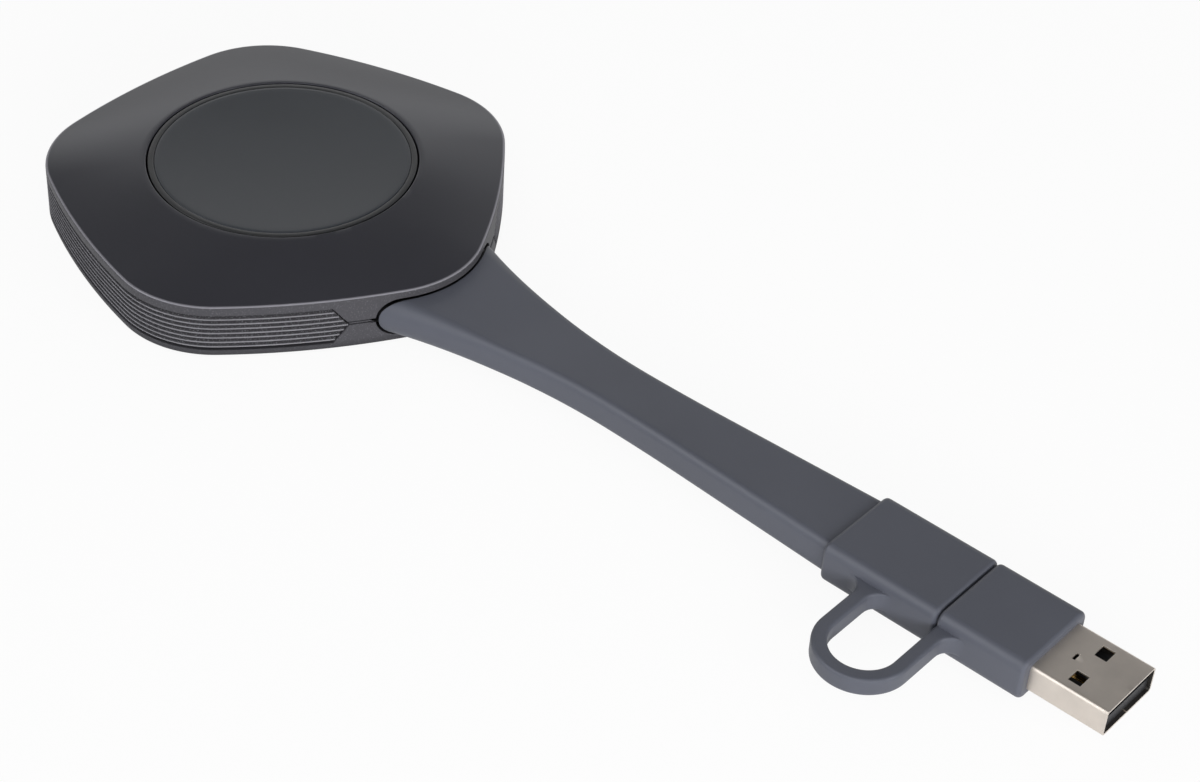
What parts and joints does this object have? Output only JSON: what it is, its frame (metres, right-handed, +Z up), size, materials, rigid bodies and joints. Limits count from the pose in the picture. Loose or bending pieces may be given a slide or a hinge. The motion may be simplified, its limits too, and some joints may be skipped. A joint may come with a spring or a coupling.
{
  "type": "wireless presentation dongle",
  "caption": "Puck-shaped wireless presentation dongle: a large press button, a flat soft tail, a USB-C plug and a tethered USB-A adapter.",
  "frame": {"origin": "underside of the base pad, below the middle of the button", "axes": "+Z up through the button, +X along the tail to the plug's tip, -Y the side with the tether loop"},
  "size_m": [0.1981, 0.075, 0.0127],
  "materials": {
    "cover_plastic": "satin, dark charcoal",
    "band_rubber": "soft, fine ribs",
    "pad_rubber": "soft, matt",
    "button_plastic": "satin",
    "ring_plastic": "smoked, light-spreading",
    "tail_silicone": "soft-touch, matt blue-grey",
    "steel": "plain",
    "plug_nickel": "nickel-plated sheet",
    "hard_plastic": "moulded",
    "insulator_plastic": "moulded",
    "contact_gold": "gold-plated",
    "circuit_board": "solder mask",
    "chip_plastic": "moulded",
    "ceramic": "fired",
    "lamp_plastic": "clear-topped",
    "heat_aluminium": "rolled",
    "thermal_silicone": "soft",
    "lead_sheath": "smooth"
  },
  "bodies": {
    "case": {"top_cover": "cover_plastic", "bottom_cover": "cover_plastic", "grip_band": "band_rubber", "base_pad": "pad_rubber", "tail_strap": "tail_silicone", "case_screws": "steel", "board_screws": "steel", "clamp_screws": "steel", "return_springs": "steel", "tail_clamp": "steel", "radio_shield": "steel", "switch_body": "hard_plastic", "tail_connector": "hard_plastic", "main_board": "circuit_board", "radio_board": "circuit_board", "radio_chip": "chip_plastic", "memory_chip": "chip_plastic", "processor_chip": "chip_plastic", "power_coils": "chip_plastic", "capacitors": "ceramic", "antennas": "ceramic", "status_leds": "lamp_plastic", "heat_plate": "heat_aluminium", "thermal_pad": "thermal_silicone", "antenna_leads": "lead_sheath", "tail_core": "lead_sheath"},
    "button": {"button_disc": "button_plastic", "button_cap": "button_plastic", "light_ring": "ring_plastic"},
    "plunger": {"switch_plunger": "hard_plastic"},
    "tail_end": {"plug_sleeve": "tail_silicone", "sleeve_core": "hard_plastic", "c_plug_board": "circuit_board", "c_plug_shell": "plug_nickel", "c_plug_insulator": "insulator_plastic", "c_plug_contacts": "contact_gold", "tether_loop": "tail_silicone"},
    "adapter": {"adapter_jacket": "tail_silicone", "adapter_core": "hard_plastic", "c_socket_shell": "plug_nickel", "c_socket_tongue": "insulator_plastic", "c_socket_contacts": "contact_gold", "adapter_board": "circuit_board", "a_plug_shell": "plug_nickel", "a_plug_insulator": "insulator_plastic", "a_plug_contacts": "contact_gold"}
  },
  "joints": [
    {"name": "button_press", "type": "slide", "parent": "case", "child": "button", "axis": [0, 0, -1], "range_m": [0, 0.0004], "stiffness_N_per_m": 500, "springref_m": -0.0012, "deforming": ["return_springs"]},
    {"name": "plunger_press", "type": "slide", "parent": "case", "child": "plunger", "axis": [0, 0, -1], "range_m": [0, 0.0004]},
    {"name": "tail_bend", "type": "hinge", "parent": "case", "child": "tail_end", "pos_m": [0.076, 0, 0.0051], "axis": [0, 1, 0], "range_deg": [-30, 30], "stiffness_Nm_per_rad": 0.6, "deforming": ["tail_strap", "tail_core"]},
    {"name": "adapter_pull", "type": "slide", "parent": "tail_end", "child": "adapter", "axis": [1, 0, 0], "range_m": [0, 0.009], "deforming": ["tether_loop"]}
  ],
  "couplings": [
    {"joint": "plunger_press", "follows": "button_press", "ratio": 1}
  ]
}
